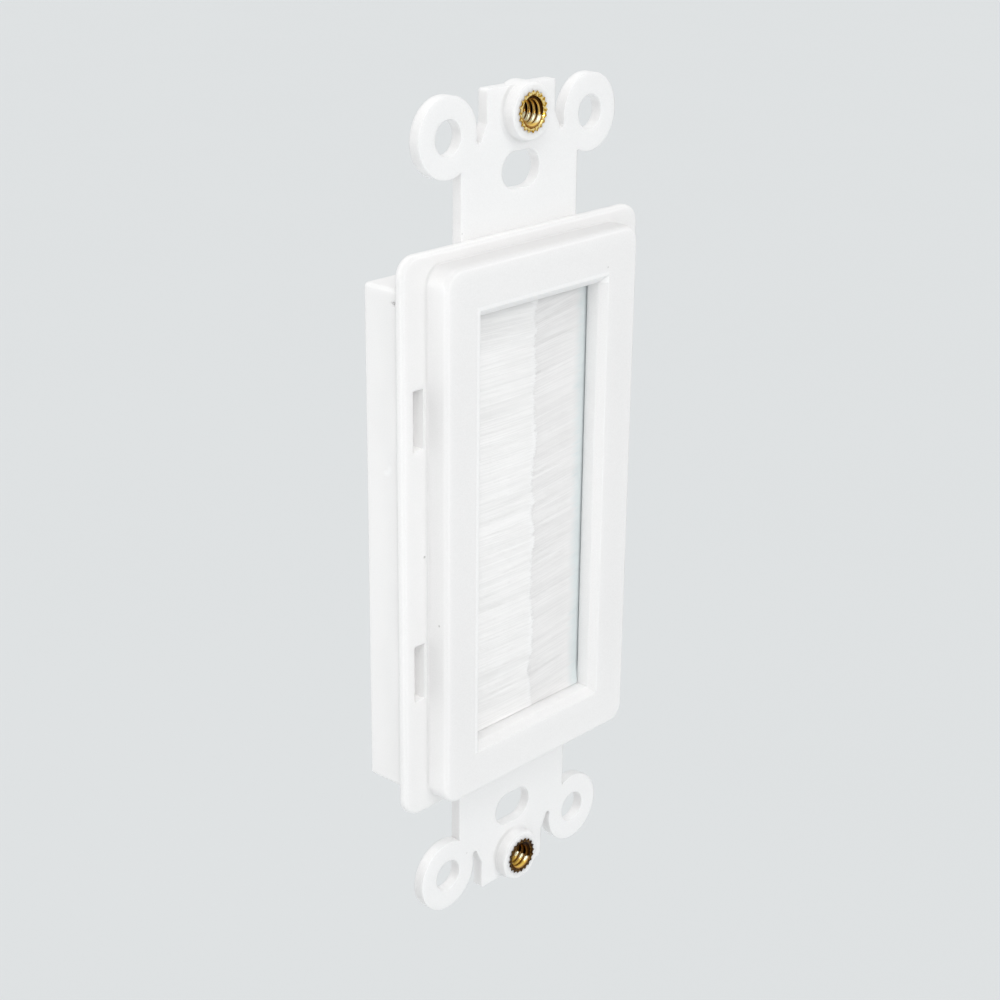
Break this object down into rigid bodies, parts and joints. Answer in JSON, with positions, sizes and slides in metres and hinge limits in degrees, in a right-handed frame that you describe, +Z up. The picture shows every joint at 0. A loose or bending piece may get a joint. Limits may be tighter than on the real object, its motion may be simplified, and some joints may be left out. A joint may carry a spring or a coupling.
{
  "type": "brush cable grommet",
  "caption": "Single-gang wall insert whose rectangular opening is closed by two facing strips of white bristles, for passing cables through a wall.",
  "frame": {"origin": "centre of the insert on the plane where its mounting strap lies against the wall", "axes": "+X to the right seen from the room, +Y into the wall, +Z up"},
  "size_m": [0.0406, 0.0099, 0.1036],
  "materials": {
    "white_plastic": "satin moulded",
    "channel_aluminium": "mill",
    "core_wire_steel": "drawn",
    "bristle_nylon": "fine filaments",
    "brass": "machined"
  },
  "bodies": {
    "root": {"front_frame": "white_plastic", "rear_retainer": "white_plastic", "brush_channel_left": "channel_aluminium", "brush_channel_right": "channel_aluminium", "core_wire_left": "core_wire_steel", "core_wire_right": "core_wire_steel", "bristles_left": "bristle_nylon", "bristles_right": "bristle_nylon", "screw_insert_upper": "brass", "screw_insert_lower": "brass"}
  },
  "joints": []
}
